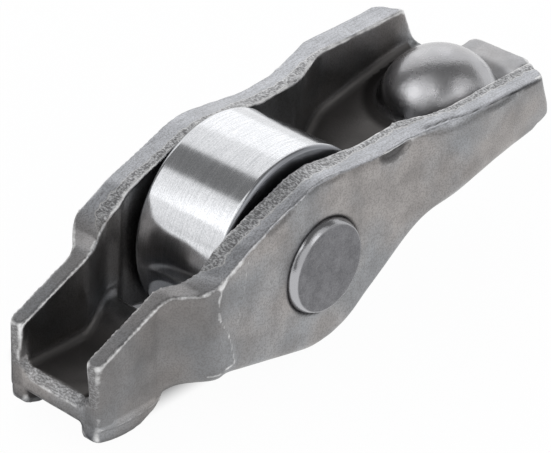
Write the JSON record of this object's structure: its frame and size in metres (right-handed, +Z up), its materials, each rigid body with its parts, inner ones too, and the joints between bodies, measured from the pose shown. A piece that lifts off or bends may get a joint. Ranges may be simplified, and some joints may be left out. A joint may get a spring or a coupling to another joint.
{
  "type": "roller finger follower",
  "caption": "Stamped steel rocker arm with a needle-bearing roller on a staked axle, a lugged valve pad at one end and a pressed ball socket with a tongue at the other.",
  "frame": {"origin": "centre of the roller, on the axle's axis midway between the two walls", "axes": "+X along the arm from the valve end to the socket end, +Y along the axle, +Z up towards the camshaft"},
  "size_m": [0.0529, 0.0182, 0.0174],
  "materials": {
    "arm_steel": "case-hardened pressed steel, tumbled satin grey, sheared edges rough",
    "axle_steel": "matt hardened steel end face with a bright turned bevel",
    "roller_steel": "ground bearing steel with fine circumferential grain",
    "needle_steel": "ground and lapped bearing steel"
  },
  "bodies": {
    "arm": {"arm_body": "arm_steel", "axle_pin": "axle_steel"},
    "roller": {"roller_ring": "roller_steel"},
    "needle_set": {"needle_01": "needle_steel", "needle_02": "needle_steel", "needle_03": "needle_steel", "needle_04": "needle_steel", "needle_05": "needle_steel", "needle_06": "needle_steel", "needle_07": "needle_steel", "needle_08": "needle_steel", "needle_09": "needle_steel", "needle_10": "needle_steel", "needle_11": "needle_steel", "needle_12": "needle_steel", "needle_13": "needle_steel", "needle_14": "needle_steel", "needle_15": "needle_steel", "needle_16": "needle_steel", "needle_17": "needle_steel"}
  },
  "joints": [
    {"name": "roller_spin", "type": "hinge", "parent": "arm", "child": "roller", "pos_m": [0, 0, 0], "axis": [0, 1, 0], "continuous": true},
    {"name": "needle_orbit", "type": "hinge", "parent": "arm", "child": "needle_set", "pos_m": [0, 0, 0], "axis": [0, 1, 0], "continuous": true}
  ],
  "couplings": [
    {"joint": "needle_orbit", "follows": "roller_spin", "ratio": 0.5908}
  ]
}
